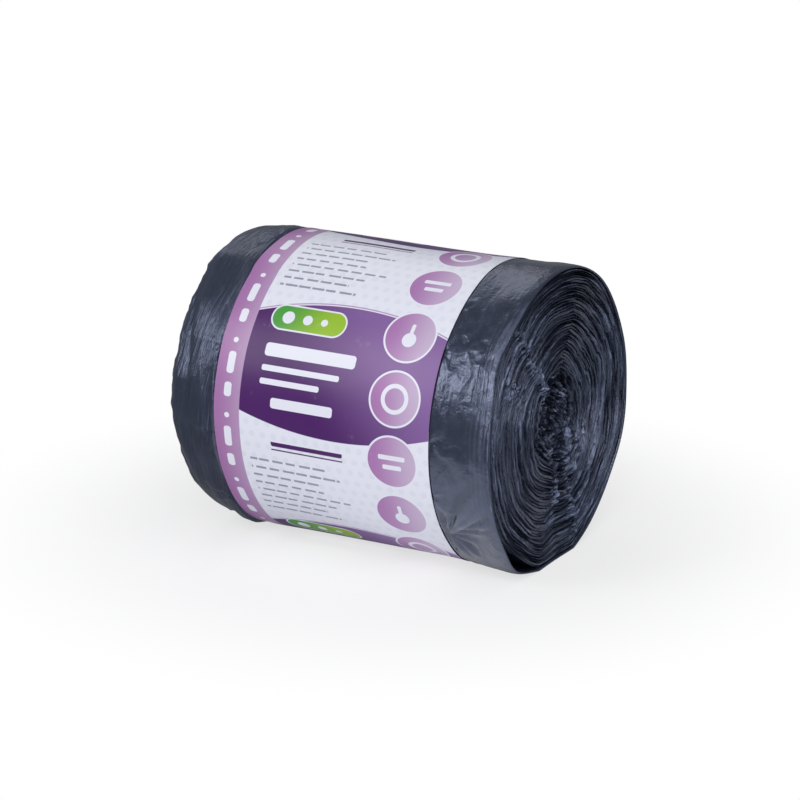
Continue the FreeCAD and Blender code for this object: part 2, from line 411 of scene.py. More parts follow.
def star(x, angle, radius):
    """Height of the ridges that run out from the hardest pinch, in mm."""
    along = (x - STAR_ALONG) / MM
    across = apart(angle, STAR_ANGLE) * radius / MM
    distance = math.hypot(along, across)
    if distance > 30:
        return 0.0
    height = -0.9 * math.exp(-(distance / 1.6) ** 2)
    for degrees, length, top in STAR_RIDGES:
        ray = math.radians(degrees + 2.5 * math.sin(distance / 4 + degrees))
        ahead = along * math.cos(ray) + across * math.sin(ray)
        aside = across * math.cos(ray) - along * math.sin(ray)
        if 0 < ahead < length:
            wide = 0.55 + 0.045 * ahead
            fade = (1 - ahead / length) ** 0.6 * smooth(ahead, 0, 2.0)
            height += 1.5 * top * fade * math.exp(-(aside / wide) ** 2)
    return height


def puckers(roll, x, angle):
    """Height of the folds that fan out from where the label grips the film, in mm."""
    height = star(x, angle, roll.radius)
    for edge, degrees, reach, folds, turn, crest_height in PUCKERS:
        start = roll.label_end if edge == "near" else roll.label_start
        along = (x - start) / MM * (1 if edge == "near" else -1)
        if along < -0.5 or along > 2.5 * reach:
            continue
        round_arc = apart(angle, math.radians(degrees)) * roll.radius / MM
        distance = math.hypot(along, round_arc)
        if distance > 2.5 * reach:
            continue
        fan = math.atan2(round_arc, along + 0.6)
        crest = 1 - abs(math.sin(folds * fan / 2 + turn + 0.3 * math.sin(distance * 0.8)))
        fall = math.exp(-distance / reach)
        height += crest_height * (1.3 * crest ** 2 * fall * smooth(distance, 0, 2.0)
                                  - 0.8 * math.exp(-(distance / 1.8) ** 2))
    return height


def crease_lines(x, y, z, width):
    """A network of sharp creases with flat film between, 1 on a crease."""
    bend = Vector((x, y, z)) + 0.4 * noise.noise_vector(Vector((x * 0.6 + 3, y * 0.6, z * 0.6)))
    return math.exp(-abs(noise.noise(bend)) / width)


def facets(x, y, z):
    """Flat faces that meet in folds, 0 to about 0.6."""
    bend = Vector((x, y, z)) + 0.5 * noise.noise_vector(Vector((x * 0.5, y * 0.5 + 6, z * 0.5)))
    return abs(noise.noise(bend))


def far_folds(x, arc_y, arc_z):
    """Wrinkles that run round the far shoulder, in mm, and how much lighter the film is painted along their
    creases: stress whitening with painted highlight.
    """
    along = x / MM
    lean = 0.12 * arc_z + 5.0 * noise.noise(Vector((arc_y / 60, arc_z / 60, 3.0)))
    patch = 0.3 + 0.7 * smooth(noise.noise(Vector((along / 15, arc_y / 28, arc_z / 28))), -0.25, 0.3)
    broad = facets((along + lean) / 8, arc_y / 34 + 4, arc_z / 34)
    streak = crease_lines((along + lean) / 5.0, arc_y / 44 + 4, arc_z / 44, 0.13)
    fine = crease_lines((along + 0.8 * lean) / 2.6, arc_y / 22, arc_z / 22 + 9, 0.18)
    dent = noise.noise(Vector((along / 13, arc_y / 20, arc_z / 20)))
    plane = facets(along / 30 + 2, arc_y / 24, arc_z / 24)
    height = 1.7 * broad + (0.7 * streak + 0.35 * fine) * patch + 0.5 * dent - 1.5 * plane
    # Lighter along the crease streaks: stress whitening with painted highlight
    return height, (0.35 * streak + 0.2 * fine) * patch


# Where the near strip's pleats end, in mm from the middle of the roll
STRAIGHT_END = 61


def near_folds(x, angle, arc_y, arc_z):
    """Crumples in patches on the near strip, in mm, and a share of lighter colour: painted reflection on the low
    side, painted highlight on pleats and ridges, painted shade in creases, with some stress whitening.
    """
    along = x / MM
    degrees = math.degrees(apart(angle, 0))
    lit = bell(degrees, 62, 13) + bell(degrees, 138, 14)
    patch = smooth(noise.noise(Vector((along / 17 + 2.3, arc_y / 21, arc_z / 21 + 1.1))), -0.2, 0.3)
    strength = min(1.0, 0.3 + 0.5 * patch + 0.7 * lit)
    dent = noise.noise(Vector((along / 14, arc_y / 15, arc_z / 15 + 7)))
    broad = facets(along / 9 + arc_z / 40, arc_y / 11, arc_z / 11)
    small = facets(along / 4.2, arc_y / 5.0, arc_z / 5.0 + 4)
    crease = crease_lines(along / 7.5 + 5, arc_y / 9, arc_z / 9, 0.09)
    crumple = crease_lines(along / 3.4 + 1, arc_y / 4.0, arc_z / 4.0, 0.13)
    pleat = 1 - abs(math.sin(math.pi * (STRAIGHT_END - along) / 1.7 + 2.0 * dent))
    pleat *= smooth(along, STRAIGHT_END - 8, STRAIGHT_END - 4) * bell(degrees, 72, 34)
    form = 0.55 * dent + 0.45 * broad + 0.4 * pleat
    height = form + (0.20 * small + 0.25 * crease - 0.07 * crumple) * strength
    # Painted reflection of the floor on the low side round 115 degrees, painted highlight on the pleats by the
    # rim, and lighter ridges with darker creases, most in the lit bands: painted highlight and shade with some
    # stress whitening
    whitening_and_light_share = 0.25 * bell(degrees, 115, 22) + 0.5 * pleat
    return height, whitening_and_light_share + (0.4 * crease + 0.3 * small + 0.2 * dent - 0.3 * crumple) * strength


def film_surface(roll, look, x, inset, angle):
    """Distance of the film's outer face from the axis, and its share of lighter colour there: stress whitening
    with painted light and shade.
    """
    covered = under_label(roll, x)
    radius = outline(roll, inset, angle) + gentle_form(roll, x, angle)
    whitening_and_light_share = 0.0
    if covered < 1:
        arc_y, arc_z = roll.radius * math.sin(angle) / MM, roll.radius * math.cos(angle) / MM
        if x < roll.label_start:
            folds, whitening_and_light_share = far_folds(x, arc_y, arc_z)
        else:
            folds, whitening_and_light_share = near_folds(x, angle, arc_y, arc_z)
        pinched = puckers(roll, x, angle)
        # Pucker ridges painted lighter and their hollows darker: painted highlight and shade
        whitening_and_light_share += 0.9 * pinched
        calm = 0.3 + 0.7 * smooth(roll.length / 2 - x, 0, 4 * MM)
        loose = look.fold_depth * folds * calm + MM * 0.8 * pinched - 0.3 * MM
        radius += loose * (1 - covered) * off_foot(angle)
        turned_in = smooth(x, roll.length / 2 - 6 * MM, roll.length / 2) ** 2
        front = bell(math.degrees(apart(angle, math.radians(75))), 0, 50)
        radius -= 1.1 * MM * turned_in * front
    return radius - covered * 3.0 * roll.label_thickness, min(1.0, max(0.0, whitening_and_light_share))


def rim_set_back(angle):
    """How far the near rim lies back at an angle: the film's edge isn't quite square."""
    wave = noise.noise(Vector((math.sin(angle) * 2.2, math.cos(angle) * 2.2, 5.0)))
    dip = 1.7 * bell(math.degrees(apart(angle, math.radians(52))), 0, 12)
    return (0.5 * wave + dip) * MM


def film_profile(roll):
    """The film's section along the roll as places with an inset: out, over both ends, back inside."""
    half = roll.length / 2
    places = []
    for share in (0.0, 0.35, 0.7, 1.0):
        places.append((half - roll.rim_length * share, roll.rim_drop * (1 - share) ** 2))
    straight_start, straight_end = half - roll.rim_length, -half + roll.shoulder_length
    stops = (straight_start, roll.label_end + 0.8 * MM, roll.label_end, roll.label_start,
             roll.label_start - 0.8 * MM, straight_end)
    for begin, end, count in zip(stops, stops[1:], (46, 3, 36, 3, 12)):
        for number in range(1, count + 1):
            places.append((begin + (end - begin) * number / count, 0.0))
    places.pop()
    curl_steps = 26
    for number in range(curl_steps + 1):
        turn = math.pi / 2 * number / curl_steps
        inset = roll.shoulder_drop * (1 - math.cos(turn))
        places.append((straight_end - roll.shoulder_length * math.sin(turn), inset))
    lip = roll.shoulder_drop + 1.6 * MM
    places.append((-half + 0.3 * MM, lip))
    places.append((-half + 1.2 * MM, lip + 0.3 * MM))
    places.append((-half + 3.0 * MM, roll.shoulder_drop + 0.8 * MM))
    places.append((straight_end, 2.2 * MM))
    for back in (18, 9, 4, 1.5, 0.5):
        places.append((half - back * MM, roll.rim_drop + roll.film_wall * (1.0 if back < 10 else 3.0)))
    return places


def make_film(roll, look):
    """The outermost turn: film over the whole roll, closed with a wall inside it."""
    profile = film_profile(roll)
    rounds = 560
    piece, places = wound_grid("outer_film", len(profile), rounds)
    spots = []
    # A layer for the film's colour: stress whitening with painted highlight, reflection and shade
    wear_and_painted_light = piece.data.attributes.new("stretched", "FLOAT", "POINT")
    for vertex, (station, row) in zip(piece.data.vertices, places):
        x, inset = profile[station % len(profile)]
        angle = TURN * row / rounds + math.pi
        radius, wear_and_painted_light.data[vertex.index].value = film_surface(roll, look, x, inset, angle)
        edge = smooth(x, roll.length / 2 - 9 * MM, roll.length / 2)
        ragged = smooth(-x, roll.length / 2 - 4 * MM, roll.length / 2)
        sine, cosine = math.sin(angle), math.cos(angle)
        curl = 1.0 * MM * ragged * (noise.noise(Vector((sine * 5, cosine * 5, 2)))
                                    + 1.2 * facets(sine * 9, cosine * 9, inset / (6 * MM)))
        vertex.co = spot(roll, x - edge * rim_set_back(angle) + curl, radius, angle)
        spots.append((x, TURN * row / rounds * roll.radius))
    lay_map(piece, "film", spots)
    weld(piece, 0.01 * MM)
    bpy.ops.object.shade_smooth()
    hand_over(piece, "bag_roll", film_material("crinkled_film", look, "film"))


def squeezed(roll, radius, angle, dents):
    """Where a turn of this radius really lies: sagged at the foot, wavy, creased and pushed in."""
    share = radius / roll.radius
    place = radius
    away = apart(angle, math.pi)
    sag = roll.radius - roll.axis_height
    if abs(away) < 1.0:
        place = min(radius, (radius - sag * share ** 2) / math.cos(away))
    slack = math.sqrt(max(0.0, 1 - share ** 3)) * min(1.0, radius / (9 * MM))
    wave = math.sin(2 * angle + 0.09 * radius / MM) + 0.7 * math.sin(5 * angle - 0.15 * radius / MM)
    kinks = 0.0
    for degrees, reach, height in END_CREASES:
        off = math.degrees(apart(angle, math.radians(degrees + 4 * math.sin(radius / (8 * MM)))))
        kinks += height * math.exp(-abs(off) / reach)
    place += slack * (0.8 * MM * wave + kinks * MM) + bulge(dents, angle) * share ** 3
    reach = apart(angle, LOOSE_TURN_ANGLE) * roll.radius / (14 * MM)
    return place - roll.loose_gap * share ** 4 * math.exp(-1.5 * reach ** 2)


# Rays along which the turns are creased: angle, reach, height
END_CREASES = ((38, 7, -1.3), (182, 6, -1.5), (172, 5, 0.9), (345, 8, 1.1), (322, 6, -0.8),
               (80, 9, 0.6), (120, 7, -0.7), (232, 9, 0.8), (276, 8, -0.7))


def turn_edges(roll, outside, seed):
    """Radius at which each visible turn begins: bundles of folded film of unlike thickness."""
    weights = []
    for number in range(roll.turns):
        weights.append(1.0 + 0.75 * noise.noise(Vector((number * 0.77, seed, 0.5))))
    core = 1.2 * MM
    scale = (outside - core) / sum(weights)
    edges = [core]
    for weight in weights:
        edges.append(edges[-1] + weight * scale)
    return edges


def strip_radius(edges, wound):
    """Radius of the wound strip after so many turns."""
    turn = min(int(wound), len(edges) - 2)
    return edges[turn] + (edges[turn + 1] - edges[turn]) * (wound - turn)


def end_face_dip(roll, radius, y, z):
    """How far the end's face lies back: a sunk, crumpled core with a pit in it."""
    wander = 3.0 * MM * noise.noise(Vector((y / 8, z / 11, 2.0)))
    core = 2.6 * MM * (1 - smooth(radius + wander, 14.5 * MM, 16.5 * MM))
    pit = roll.core_pit * (1 - smooth(radius + wander, 3.5 * MM, 7.5 * MM))
    return core + pit


# Rays along which the end's turns are crumpled and painted with glinting specks: angle, half width, inner and
# outer radius
CRUMPLED_RAYS = ((38, 3.6, 14, 50), (197, 3.2, 26, 49), (205, 6.0, 14, 26), (178, 4.0, 18, 32),
                 (235, 7.0, 14, 26), (60, 6.0, 28, 44))


def crumpled_ray(radius, angle):
    """1 on a crumpled ray and 0 away from it."""
    most = 0.0
    for degrees, width, inner, outer in CRUMPLED_RAYS:
        if inner * MM < radius < outer * MM:
            off = math.degrees(apart(angle, math.radians(degrees)))
            most = max(most, bell(off * radius / (30 * MM), 0, width))
    return most


def ribbon_wobble(y, z, line, flat, outside):
    """Small sideways waves of the strip, which neighbouring turns partly share."""
    long_wave = noise.noise(Vector((y / 12, z / 12, line * 0.22)))
    own_wave = noise.noise(Vector((y / 7, z / 7, line * 0.9)))
    short_wave = noise.noise(Vector((y / 2.6, z / 2.6, line * 0.5)))
    core = 1 - smooth(flat, 10 * MM, 17 * MM)
    calm = smooth(outside - flat, 0, 4 * MM)
    return (0.55 * long_wave + 0.20 * own_wave + (0.10 + 1.1 * core) * short_wave) * MM * calm


def ridge_stand(roll, y, z, turn, flat, angle, seed):
    """How far a turn's edge stands out of the end's face, in mm, and its share of lighter colour: lighter where
    it stands out, painted light on the low side, painted shade in the core and painted glint along the crumpled
    rays.
    """
    slow = noise.noise(Vector((y / 21, z / 21, seed)))
    bundle = noise.noise(Vector((turn * 0.9 + seed, y / 45, z / 45)))
    single = noise.noise(Vector((y / 22, z / 22, turn * 2.3 + seed)))
    crinkle = noise.noise(Vector((y / 2.6, z / 2.6, turn * 0.7 + seed)))
    tiny = noise.noise(Vector((y / 1.1, z / 1.1, turn * 0.9 + seed)))
    nick = ridges(y / 7.5, z / 7.5, turn * 1.3 + seed)
    core = 1 - smooth(flat, 11 * MM, 18 * MM)
    ray = crumpled_ray(flat, angle)
    low = bell(math.degrees(apart(angle, math.radians(195))), 0, 38) * smooth(flat, 20 * MM, 30 * MM)
    loose = 0.9 * core + ray
    stand = 0.8 * slow + 1.1 * bundle + 0.9 * single
    stand += (0.18 + 1.5 * loose) * crinkle + (0.7 * ray + 1.1 * core) * tiny + (0.14 + 0.8 * loose) * nick
    # Lighter where the turn stands out, painted light on the low side, painted shade darkening the core, and
    # painted glint along the crumpled rays and in the core
    whitening_and_light_share = 0.8 * single + 0.22 * low + 0.1 * nick - 0.35 * core
    return stand, whitening_and_light_share + (2.4 * ray + 0.6 * core) * (crinkle + tiny) + 0.25 * ray


def make_end_turns(roll, look, name, side, outside, seed):
    """The wound turns that show at one end: a ribbon wound in a spiral, each turn a ridge."""
    edges = turn_edges(roll, outside, seed)
    columns = 300
    last = (roll.turns - 1) * columns
    rows = 5
    piece, places = wound_grid(name, rows, last)
    start_angle = math.radians(298)
    dents = NEAR_DENTS[1:] if side > 0 else FAR_DENTS
    half = roll.length / 2
    spots = []
    # A layer for the colour: painted shade in the gaps, painted light and glint on the ridges, with some stress
    # whitening
    wear_and_painted_light = piece.data.attributes.new("stretched", "FLOAT", "POINT")
    for vertex, (row, column) in zip(piece.data.vertices, places):
        wound = column / columns
        turn = int(wound)
        angle = start_angle + side * TURN * wound
        inner, outer = strip_radius(edges, wound), strip_radius(edges, wound + 1)
        thick = outer - inner
        sine, cosine = math.sin(angle), math.cos(angle)
        pressed = 1 - 0.55 * bell(math.degrees(apart(angle, math.radians(140))), 0, 40)
        if row in (0, 5):
            # Foot of the ridge, in the dark gap that it shares with its neighbour
            line = wound if row == 0 else wound + 1
            flat = inner if row == 0 else outer
            y, z = sine * flat / MM, cosine * flat / MM
            depth = (3.1 + 2.4 * noise.noise(Vector((y / 19, z / 19, line * 1.3 + seed)))) * MM
            # Painted shade at the foot of each ridge, in the gap between turns
            wear_and_painted_light.data[vertex.index].value = -0.9 * pressed
            x = half - end_face_dip(roll, flat, y, z) - depth * pressed
        else:
            middle = (inner + outer) / 2
            y, z = sine * middle / MM, cosine * middle / MM
            rim = smooth(middle, outside - 5 * MM, outside)
            stand, whitening_and_light_share = ridge_stand(roll, y, z, turn, middle, angle, seed)
            wear_and_painted_light.data[vertex.index].value = whitening_and_light_share
            stand = stand * (1 - 0.75 * rim) - 0.5
            gap = 0.26 + 0.42 * noise.noise(Vector((y / 19, z / 19, turn * 1.9 + seed)))
            gap = max(0.1, gap) * thick * pressed
            lean = 0.25 + 1.1 * noise.noise(Vector((y / 17, z / 17, turn * 3.1 + seed)))
            flat = (inner + gap, inner + 1.6 * gap, outer - 1.6 * gap, outer - gap)[row - 1]
            rise = (-0.22 - max(0.0, lean), -max(0.0, lean), min(0.0, lean), -0.22 + min(0.0, lean))[row - 1]
            set_back = rim * rim_set_back(angle) if side > 0 else 0.0
            x = half - end_face_dip(roll, middle, y, z) + (stand + rise) * MM - set_back
            line = wound + (flat - inner) / thick
        radius = squeezed(roll, flat, angle, dents) + ribbon_wobble(y, z, line, flat, outside)
        vertex.co = spot(roll, side * x, max(0.2 * MM, radius), angle)
        spots.append((wound * (inner + outer) / 2 * TURN, turn + row / rows))
    lay_map(piece, "ribbon", spots)
    weld(piece, 0.002 * MM)
    close_plug(piece, roll, side)
    bpy.ops.object.shade_smooth_by_angle(angle=math.radians(34))
    hand_over(piece, "bag_roll", turns_material(name + "_film", look, "ribbon"))


def close_plug(piece, roll, side):
    """Draws the outer edge of the turns down into the roll and closes it behind."""
    mesh = bmesh.new()
    mesh.from_mesh(piece.data)
    rim = [edge for edge in mesh.edges if edge.is_boundary]
    made = bmesh.ops.extrude_edge_only(mesh, edges=rim)
    depth = side * (roll.length / 2 - 24 * MM)
    walls = [item for item in made["geom"] if isinstance(item, bmesh.types.BMVert)]
    for vertex in walls:
        vertex.co.x = depth
    floor = [item for item in made["geom"] if isinstance(item, bmesh.types.BMEdge)]
    bmesh.ops.contextual_create(mesh, geom=floor)
    bmesh.ops.recalc_face_normals(mesh, faces=mesh.faces)
    mesh.to_mesh(piece.data)
    mesh.free()


# Shares of the label's map: its printed side, its back, its two edges and its two ends
PRINT_SHARE = 0.9
BACK_START, BACK_SHARE = 0.91, 0.07
EDGE_STARTS, EDGE_SHARE = (0.984, 0.992), 0.005
END_STARTS, LENGTH_SHARE = (0.984, 0.992), 0.98


def part_map(piece, roll):
    """Gives the printed side, the back and the thin edges of the paper places of their own."""
    mesh = piece.data
    layer = mesh.uv_layers["OFBake"]
    for face in mesh.polygons:
        out = Vector((0, face.center.y, face.center.z - roll.axis_height))
        facing = face.normal.dot(out.normalized())
        for index in face.loop_indices:
            u, v = layer.data[index].uv
            corner = mesh.vertices[mesh.loops[index].vertex_index].co
            outer = math.hypot(corner.y, corner.z - roll.axis_height) > out.length
            v *= LENGTH_SHARE
            if facing > 0.5:
                u *= PRINT_SHARE
            elif facing < -0.5:
                u = BACK_START + BACK_SHARE * u
            elif abs(face.normal.x) > 0.5:
                u = EDGE_STARTS[int(face.normal.x > 0)] + EDGE_SHARE * outer
            else:
                u, v = PRINT_SHARE * u, END_STARTS[int(v > 0.5)] + EDGE_SHARE * outer
            layer.data[index].uv = u, v


# Where the label's ends are glued over each other
LAP_ANGLE = math.radians(232)


def make_label(roll, look):
    """The paper band, wound once round the roll with its end glued down over its start."""
    across, around = 72, 420
    lap = 12 * MM / roll.radius
    piece, places = wound_grid("paper_label", across, around)
    spots = []
    for vertex, (station, row) in zip(piece.data.vertices, places):
        share = row / around
        angle = LAP_ANGLE - lap / 2 + (TURN + lap) * share
        x = roll.label_start + (roll.label_end - roll.label_start) * station / across
        jog = 0.25 * MM * smooth(math.degrees(apart(angle, math.radians(30))), -1.5, 1.5)
        jog *= 1 - smooth(abs(math.degrees(apart(angle, math.radians(30)))), 20, 60)
        edge = 0.12 * MM * noise.noise(Vector((math.sin(angle) * 4, math.cos(angle) * 4, station // 40)))
        over = smooth(share, 1 - 1.3 * lap / TURN, 1 - 0.9 * lap / TURN) * roll.label_thickness * 1.3
        radius = outline(roll, roll.label_thickness * 0.5, angle) + gentle_form(roll, x, angle) + over
        vertex.co = spot(roll, x + edge + jog * (1 - station / across), radius, angle)
        spots.append((station / across, share))
    lay_map(piece, "OFBake", spots)
    wall = piece.modifiers.new("Paper", "SOLIDIFY")
    wall.thickness = roll.label_thickness
    wall.offset = 0
    bpy.ops.object.modifier_apply(modifier=wall.name)
    part_map(piece, roll)
    for vertex in piece.data.vertices:
        vertex.co.z = max(0.0, vertex.co.z)
    bpy.ops.object.shade_smooth_by_angle(angle=math.radians(40))
    hand_over(piece, "label_band", label_material("printed_label", look, roll, lap))


# Finishes


# What both film finishes share: how strongly and in what tint the layers of film mirror
FILM_SHEEN = {"IOR": 1.6, "Specular_IOR_Level": 0.95, "Specular_Tint": (0.64, 0.71, 1.0, 1.0)}


def film_material(name, look, uv_map):
    """Thin dark film: satin gloss, with streaks round the far shoulder and crumples elsewhere; its colour
    lightens with milky patches and with the painted light in its mesh layer.
    """
    graph = Graph(name, **FILM_SHEEN)
    place = graph.node("ShaderNodeTexCoord", output=3)
    spread = graph.node("ShaderNodeUVMap", {"uv_map": uv_map})
    along, around, _ = graph.split(spread)
    far = 1.0 - graph.step(along, -44 * MM, -38 * MM)
    streaks = graph.noise(graph.combine(along * 700 + around * 90, around * 45, 0.0), 1.0, 3.0, 0.6)
    patches = graph.noise(place, 45.0, 3.0, 0.55)
    folded = 1.0 - abs(graph.noise(place, 330.0, 2.0, 0.5) - 0.5) * 4.0
    broken = 1.0 - abs(graph.noise(place, 760.0, 2.0, 0.5) - 0.5) * 4.0
    fine = graph.noise(place, 1300.0, 2.0, 0.5)
    stretched = graph.node("ShaderNodeAttribute", {"attribute_name": "stretched"}, output=2)
    # Milky patches and streaks, and the mesh layer's stress whitening with painted highlight, reflection and
    # shade
    tone_and_painted_light = graph.step(patches, 0.42, 0.7) * 0.2 + streaks * 0.1 + stretched
    colour = graph.blend(graph.lowest(tone_and_painted_light, 1.0), look.colour, look.whitening_and_sheen_colour)
    roughness = 0.17 + 0.10 * patches + 0.04 * streaks + 0.05 * far
    crumples = (folded * 0.5 + broken * 0.5) * (1.0 - 0.6 * far)
    normal = graph.bump(crumples, 0.22 * MM, 0.4)
    normal = graph.bump(streaks * (0.15 + 0.85 * far), 1.1 * MM, 0.65, normal)
    normal = graph.bump(fine, 0.05 * MM, 0.2, normal)
    return graph.finish(Base_Color=colour, Roughness=roughness, Normal=normal)


def turns_material(name, look, uv_map):
    """The cut edges of the wound film: fine lines along each turn, glinting where creased with painted bright
    specks, and painted shade in the gaps between turns.
    """
    graph = Graph(name, **FILM_SHEEN)
    place = graph.node("ShaderNodeTexCoord", output=3)
    spread = graph.node("ShaderNodeUVMap", {"uv_map": uv_map})
    along, across, _ = graph.split(spread)
    lines = graph.noise(graph.combine(along * 110, across * 7.0, 0.0), 1.0, 4.0, 0.65)
    patches = graph.noise(place, 60.0, 3.0, 0.6)
    glint = graph.noise(place, 520.0, 3.0, 0.65)
    dark = [1.1 * channel for channel in look.colour]
    stretched = graph.node("ShaderNodeAttribute", {"attribute_name": "stretched"}, output=2)
    tone_and_painted_light = graph.lowest((lines - 0.47) * 2.0 + stretched, 1.0)
    colour = graph.blend(tone_and_painted_light, dark, look.whitening_and_sheen_colour)
    # Darkens towards black in the darker lines and, as painted shade, in the gaps between turns
    colour = graph.blend(-tone_and_painted_light, colour, (0.0, 0.0, 0.0))
    # Painted glint: bright specks along creased and crumpled places
    pale = [3.6 * channel for channel in look.whitening_and_sheen_colour]
    painted_glint_share = graph.step(stretched, 0.05, 0.75) * graph.step(lines, 0.47, 0.6)
    colour = graph.blend(painted_glint_share, colour, pale)
    roughness = 0.17 + 0.16 * patches
    normal = graph.bump(lines, 0.45 * MM, 0.7)
    normal = graph.bump(glint, 0.6 * MM, 0.5, normal)
    return graph.finish(Base_Color=colour, Roughness=roughness, Normal=normal)


class Print:
    """Draws flat shapes on the label, in millimetres across and along its print."""

    def __init__(self, graph, across, along):
        self.graph = graph
        self.across = across
        self.along = along
        self.soft = 0.12

    def box(self, left, right, low, high, corner):
        """Distance outside a rounded box."""
        graph = self.graph
        half_width, half_height = (right - left) / 2 - corner, (high - low) / 2 - corner
        x = abs(self.across - (left + right) / 2) - half_width
        y = abs(self.along - (low + high) / 2) - half_height
        outside = graph.node("ShaderNodeVectorMath", {"operation": "LENGTH"}, {
            0: graph.combine(graph.highest(x, 0.0), graph.highest(y, 0.0), 0.0)}, output=1)
        return outside + graph.lowest(graph.highest(x, y), 0.0) - corner

    def disc(self, x, y, radius):
        """Distance outside a disc."""
        graph = self.graph
        gap = graph.combine(self.across - x, self.along - y, 0.0)
        return graph.node("ShaderNodeVectorMath", {"operation": "LENGTH"}, {0: gap}, output=1) - radius

    def inside(self, distance):
        """1 inside a shape and 0 outside it."""
        return 1.0 - self.graph.step(distance, -self.soft / 2, self.soft / 2)

    def repeated(self, start, pitch):
        """The same print again and again along the label."""
        wrapped = self.graph.math("FLOORED_MODULO", self.along - start, pitch) + start
        return Print(self.graph, self.across, wrapped)


def label_material(name, look, roll, lap):
    """Coated paper with a plain print of its own: fields, discs and bars, and no lettering."""
    graph = Graph(name, IOR=1.45, Specular_IOR_Level=0.4)
    spread = graph.node("ShaderNodeUVMap", {"uv_map": "OFBake"})
    u, v, _ = graph.split(spread)
    width = (roll.label_end - roll.label_start) / MM / PRINT_SHARE
    whole = (TURN + lap) * roll.radius / MM / LENGTH_SHARE
    top_arc = (TURN - LAP_ANGLE + lap / 2) * roll.radius / MM
    sheet = Print(graph, u * width, v * whole - top_arc)
    stretch = sheet.repeated(0.0, 88.0)
    colour = draw_ground(graph, sheet, look)
    colour = draw_lines(graph, stretch, look, colour)
    colour = draw_field(graph, stretch, look, colour)
    colour = draw_badges(graph, sheet, look, colour)
    colour = draw_green_bar(graph, stretch, look, colour)
    colour = draw_headings(graph, stretch, look, colour)
    colour = draw_stripe(graph, sheet, look, colour)
    place = graph.node("ShaderNodeTexCoord", output=3)
    fibre = graph.noise(place, 1500.0, 3.0, 0.6)
    waves = graph.noise(place, 55.0, 2.0, 0.5)
    wear_and_painted_light = graph.noise(place, 140.0, 4.0, 0.6)
    colour = graph.blend(graph.step(wear_and_painted_light, 0.62, 0.85) * 0.18, colour, look.ground)
    normal = graph.bump(waves, 0.9 * MM, 0.22)
    normal = graph.bump(fibre, 0.03 * MM, 0.2, normal)
    return graph.finish(Base_Color=colour, Roughness=0.3 + 0.12 * waves, Normal=normal)


def draw_ground(graph, sheet, look):
    """Pale ground with rows of paler dots, every other row shifted by half."""
    pitch = 4.2
    row = graph.math("FLOOR", sheet.along / pitch)
    shift = graph.math("FLOORED_MODULO", row, 2.0) * (pitch / 2)
    x = graph.math("FLOORED_MODULO", sheet.across + shift, pitch)
    y = graph.math("FLOORED_MODULO", sheet.along, pitch)
    dots = Print(graph, x, y)
    mark = dots.inside(dots.disc(pitch / 2, pitch / 2, 1.15))
    return graph.blend(mark * 0.35, look.ground, look.dots)


def draw_lines(graph, stretch, look, colour):
    """Rows of thin grey bars of unlike length, where small print would be."""
    pitch, first, last, left, right = 3.4, 6.0, 33.2, 13.0, 50.0
    row = graph.math("FLOOR", (stretch.along - first) / pitch)
    y = graph.math("FLOORED_MODULO", stretch.along - first, pitch)
    word = 5.3
    shifted = stretch.across + row * 1.7
    cell = graph.math("FLOOR", shifted / word)
    length = graph.node("ShaderNodeTexWhiteNoise", {"noise_dimensions": "2D"}, {
        "Vector": graph.combine(cell, row, 0.0)})
    ending = graph.node("ShaderNodeTexWhiteNoise", {"noise_dimensions": "1D"}, {"W": row})
    within = graph.math("FLOORED_MODULO", shifted, word)
    bar = graph.step(y, 1.2, 1.35) * graph.step(2.15 - y, -0.08, 0.07)
    gaps = graph.step(within, 0.5, 0.62) * graph.step(word + 0.2 - length * 1.5 - within, -0.06, 0.06)
    block = stretch.inside(stretch.box(left, right, first, last, 0.1))
    short = 1.0 - graph.step(stretch.across + ending * 12.0, 49.4, 49.6)
    return graph.blend(bar * block * gaps * short * 0.8, colour, look.ink)


def draw_field(graph, stretch, look, colour):
    """The large violet field: two wide arcs, deep at one side and lighter at the other."""
    bow = (stretch.across - 46.0) * (stretch.across - 46.0) / 210.0
    upper, lower = 37.0 + bow, 84.0 - bow * 0.9
    mark = graph.step(stretch.along - upper, -0.1, 0.1) * graph.step(lower - stretch.along, -0.1, 0.1)
    fade = graph.step(stretch.across * 0.9 - (stretch.along - 38.0) * 0.75, 4.0, 52.0)
    tone = graph.blend(fade, look.deep, look.soft)
    edge = graph.step(stretch.along - upper, -1.0, -0.8) * graph.step(upper - stretch.along, 0.35, 0.5)
    colour = graph.blend(edge * 0.8, colour, look.badge)
    return graph.blend(mark, colour, tone)


def draw_badges(graph, sheet, look, colour):
    """A row of mauve discs near the label's edge, each with a plain white mark."""
    rows = sheet.repeated(-11.0, 22.0)
    kind = graph.math("FLOORED_MODULO", graph.math("FLOOR", (sheet.along + 11.0) / 22.0), 3.0)
    disc = rows.disc(69.0, 0.0, 9.0)
    tone = graph.blend(graph.step(sheet.across, 60.0, 80.0) * 0.45, look.badge, look.ground)
    colour = graph.blend(rows.inside(disc - 0.7), colour, look.ground)
    colour = graph.blend(rows.inside(disc), colour, tone)
    ring = rows.inside(abs(rows.disc(69.0, 0.0, 4.4)) - 0.75)
    bars = rows.inside(graph.lowest(rows.box(64.0, 74.0, -2.6, -0.9, 0.5),
                                    rows.box(65.5, 72.5, 0.9, 2.6, 0.5)))
    drop = rows.inside(graph.lowest(rows.disc(69.0, 1.4, 2.6), rows.box(68.3, 69.7, -4.6, 1.0, 0.6)))
    first = 1.0 - graph.step(kind, 0.4, 0.6)
    third = graph.step(kind, 1.4, 1.6)
    mark = ring * first + drop * third + bars * (1.0 - first) * (1.0 - third)
    return graph.blend(mark, colour, look.ground)


